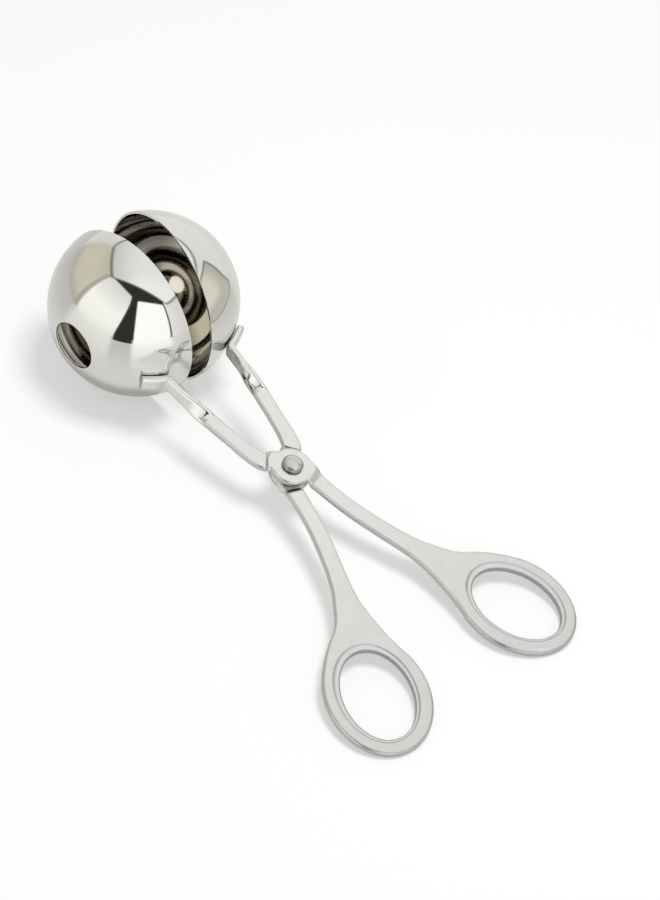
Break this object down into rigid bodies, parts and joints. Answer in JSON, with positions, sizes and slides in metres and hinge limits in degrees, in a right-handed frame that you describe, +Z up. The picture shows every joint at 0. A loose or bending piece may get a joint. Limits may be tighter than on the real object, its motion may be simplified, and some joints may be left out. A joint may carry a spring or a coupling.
{
  "type": "meatball scoop",
  "caption": "Scissor-action meatball scoop: crossed handles with oval finger loops, riveted, with a polished half-round bowl on the end of each arm.",
  "frame": {"origin": "bottom centre of the whole scoop as it lies open on a table", "axes": "+X along the scoop towards the finger loops, +Y across it towards the upper arm's loop, +Z up"},
  "size_m": [0.1632, 0.0772, 0.0476],
  "materials": {
    "satin_steel": "tumbled satin stainless steel, fine even grain",
    "polished_steel": "mirror-polished stainless steel",
    "rivet_steel": "half-bright stainless steel"
  },
  "bodies": {
    "upper_half": {"upper_arm": "satin_steel", "upper_bowl": "polished_steel", "pivot_rivet": "rivet_steel"},
    "lower_half": {"lower_arm": "satin_steel", "lower_bowl": "polished_steel"}
  },
  "joints": [
    {"name": "scissor_pivot", "type": "hinge", "parent": "upper_half", "child": "lower_half", "pos_m": [0.00341, 0, 0.01371], "axis": [-0.1626, 0, -0.9867], "range_deg": [-9.2, 50]}
  ]
}
